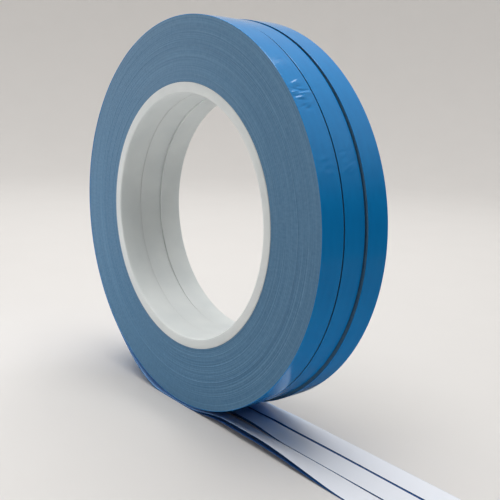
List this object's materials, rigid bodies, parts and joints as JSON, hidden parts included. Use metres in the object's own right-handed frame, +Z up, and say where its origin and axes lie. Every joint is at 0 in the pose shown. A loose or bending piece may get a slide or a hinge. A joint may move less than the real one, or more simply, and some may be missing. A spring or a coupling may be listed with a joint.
{
  "type": "adhesive tape roll set",
  "caption": "Narrow rolls of double-sided tape on white plastic cores, side by side, each with its tape's tail on blue release film lying on the table.",
  "frame": {"origin": "on the table, straight below the axis of the middle roll and halfway along its width, on the underside of the middle tail's film", "axes": "+Z up; +X from below the rolls towards the free ends of the tails; +Y along the rolls' axis, from the front roll to the rear roll"},
  "size_m": [0.1762, 0.024, 0.1221],
  "materials": {
    "core_plastic": "white moulded plastic, slightly translucent, satin",
    "wound_edge": "slit edges of tape and film, wound turn on turn, dull slate blue with fine rings",
    "release_film": "thin blue plastic film, glossy",
    "adhesive_tape": "white tape with a tacky adhesive face, soft sheen"
  },
  "bodies": {
    "lying_tape": {"film_lead_front": "release_film", "tape_lead_front": "adhesive_tape", "film_lead_middle": "release_film", "tape_lead_middle": "adhesive_tape", "film_lead_rear": "release_film", "tape_lead_rear": "adhesive_tape"},
    "front_roll": {"core_front": "core_plastic", "winding_front": "wound_edge"},
    "front_tail": {"film_tail_front": "release_film", "tape_tail_front": "adhesive_tape"},
    "front_tip": {"tape_tip_front": "adhesive_tape"},
    "middle_roll": {"core_middle": "core_plastic", "winding_middle": "wound_edge"},
    "middle_tail": {"film_tail_middle": "release_film", "tape_tail_middle": "adhesive_tape"},
    "middle_tip": {"tape_tip_middle": "adhesive_tape"},
    "rear_roll": {"core_rear": "core_plastic", "winding_rear": "wound_edge"},
    "rear_tail": {"film_tail_rear": "release_film", "tape_tail_rear": "adhesive_tape"},
    "rear_tip": {"tape_tip_rear": "adhesive_tape"}
  },
  "joints": [
    {"name": "front_roll_spin", "type": "hinge", "parent": "lying_tape", "child": "front_roll", "pos_m": [0, -0.0081, 0.06155], "axis": [0, 1, 0], "continuous": true},
    {"name": "front_tail_lift", "type": "hinge", "parent": "lying_tape", "child": "front_tail", "pos_m": [0.05, -0.0081, 0.0003], "axis": [0, -1, 0], "range_deg": [0, 50]},
    {"name": "front_tip_peel", "type": "hinge", "parent": "front_tail", "child": "front_tip", "pos_m": [0.085, -0.0081, 0.0003], "axis": [0, -1, 0], "range_deg": [0, 40]},
    {"name": "middle_roll_spin", "type": "hinge", "parent": "lying_tape", "child": "middle_roll", "pos_m": [0, 0, 0.06145], "axis": [0, 1, 0], "continuous": true},
    {"name": "middle_tail_lift", "type": "hinge", "parent": "lying_tape", "child": "middle_tail", "pos_m": [0.05, 0, 0.0003], "axis": [0, -1, 0], "range_deg": [0, 50]},
    {"name": "middle_tip_peel", "type": "hinge", "parent": "middle_tail", "child": "middle_tip", "pos_m": [0.085, 0, 0.0003], "axis": [0, -1, 0], "range_deg": [0, 40]},
    {"name": "rear_roll_spin", "type": "hinge", "parent": "lying_tape", "child": "rear_roll", "pos_m": [0.0006, 0.0081, 0.0612], "axis": [0, 1, 0], "continuous": true},
    {"name": "rear_tail_lift", "type": "hinge", "parent": "lying_tape", "child": "rear_tail", "pos_m": [0.05, 0.0081, 0.0003], "axis": [0, -1, 0], "range_deg": [0, 50]},
    {"name": "rear_tip_peel", "type": "hinge", "parent": "rear_tail", "child": "rear_tip", "pos_m": [0.085, 0.0081, 0.0003], "axis": [0, -1, 0], "range_deg": [0, 40]}
  ]
}
